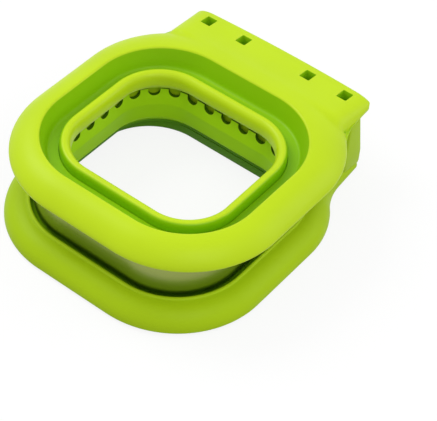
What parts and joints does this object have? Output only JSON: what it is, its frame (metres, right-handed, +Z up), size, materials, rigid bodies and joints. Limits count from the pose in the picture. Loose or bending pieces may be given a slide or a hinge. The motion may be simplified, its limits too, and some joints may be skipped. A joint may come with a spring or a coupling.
{
  "type": "hinged sandwich cutter and sealer",
  "caption": "Rounded square hand press: a hinged funnel lid carries a steel cutting band over a notched anvil wall that seals the bread's edge.",
  "frame": {"origin": "on the table, under the middle of the whole length and width", "axes": "+Y from the front to the hinge, the longest way; +Z up, the shortest way; +X to the right seen from the front"},
  "size_m": [0.122, 0.1382, 0.042],
  "materials": {
    "lid_plastic": "satin moulded, lime green",
    "base_plastic": "satin moulded, deeper lime green",
    "anvil_plastic": "satin moulded, green",
    "collar_plastic": "satin moulded, lime green",
    "blade_steel": "brushed round the band, ground lower edge",
    "fastener_steel": "plain bright",
    "foot_rubber": "matt"
  },
  "bodies": {
    "base": {"base_frame": "base_plastic", "anvil_ring": "anvil_plastic", "anvil_flange": "anvil_plastic", "base_cover": "base_plastic", "anvil_screw_1": "fastener_steel", "anvil_screw_2": "fastener_steel", "anvil_screw_3": "fastener_steel", "anvil_screw_4": "fastener_steel", "cover_screw_1": "fastener_steel", "cover_screw_2": "fastener_steel", "cover_screw_3": "fastener_steel", "cover_screw_4": "fastener_steel", "cover_screw_5": "fastener_steel", "cover_screw_6": "fastener_steel", "foot_1": "foot_rubber", "foot_2": "foot_rubber", "foot_3": "foot_rubber", "foot_4": "foot_rubber", "hinge_pin_left": "fastener_steel", "hinge_pin_right": "fastener_steel"},
    "lid": {"lid_frame": "lid_plastic", "seal_collar": "collar_plastic", "cutting_blade": "blade_steel", "blade_flange": "blade_steel", "lid_screw_1": "fastener_steel", "lid_screw_2": "fastener_steel", "lid_screw_3": "fastener_steel", "lid_screw_4": "fastener_steel", "lid_screw_5": "fastener_steel", "lid_screw_6": "fastener_steel"}
  },
  "joints": [
    {"name": "lid_hinge", "type": "hinge", "parent": "base", "child": "lid", "pos_m": [0, 0.0634, 0.027], "axis": [-1, 0, 0], "range_deg": [0, 95]}
  ]
}
